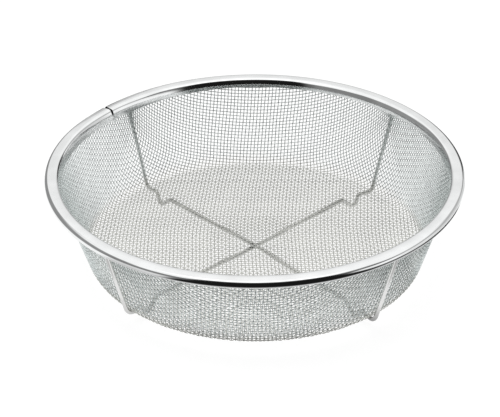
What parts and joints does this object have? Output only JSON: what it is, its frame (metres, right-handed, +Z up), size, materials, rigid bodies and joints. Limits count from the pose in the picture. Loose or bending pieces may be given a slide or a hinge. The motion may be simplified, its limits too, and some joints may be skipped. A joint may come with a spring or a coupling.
{
  "type": "wire mesh basket",
  "caption": "Shallow round basket of woven steel wire cloth with a rolled rim and crossed wires bent into feet.",
  "frame": {"origin": "on the ground, under the middle of the basket", "axes": "+Z up through the middle of the rim; the butt joint of the rim is 140.8 degrees round from +X"},
  "size_m": [0.24, 0.24, 0.062],
  "materials": {
    "wire_cloth": "woven stainless wire, bright drawn",
    "rim_strip": "polished stainless strip",
    "core_wire": "drawn stainless wire",
    "cross_wire": "drawn stainless wire, polished after welding"
  },
  "bodies": {
    "root": {"mesh_bowl": "wire_cloth", "rim_band": "rim_strip", "rim_core": "core_wire", "cross_wire_upper": "cross_wire", "cross_wire_lower": "cross_wire"}
  },
  "joints": []
}
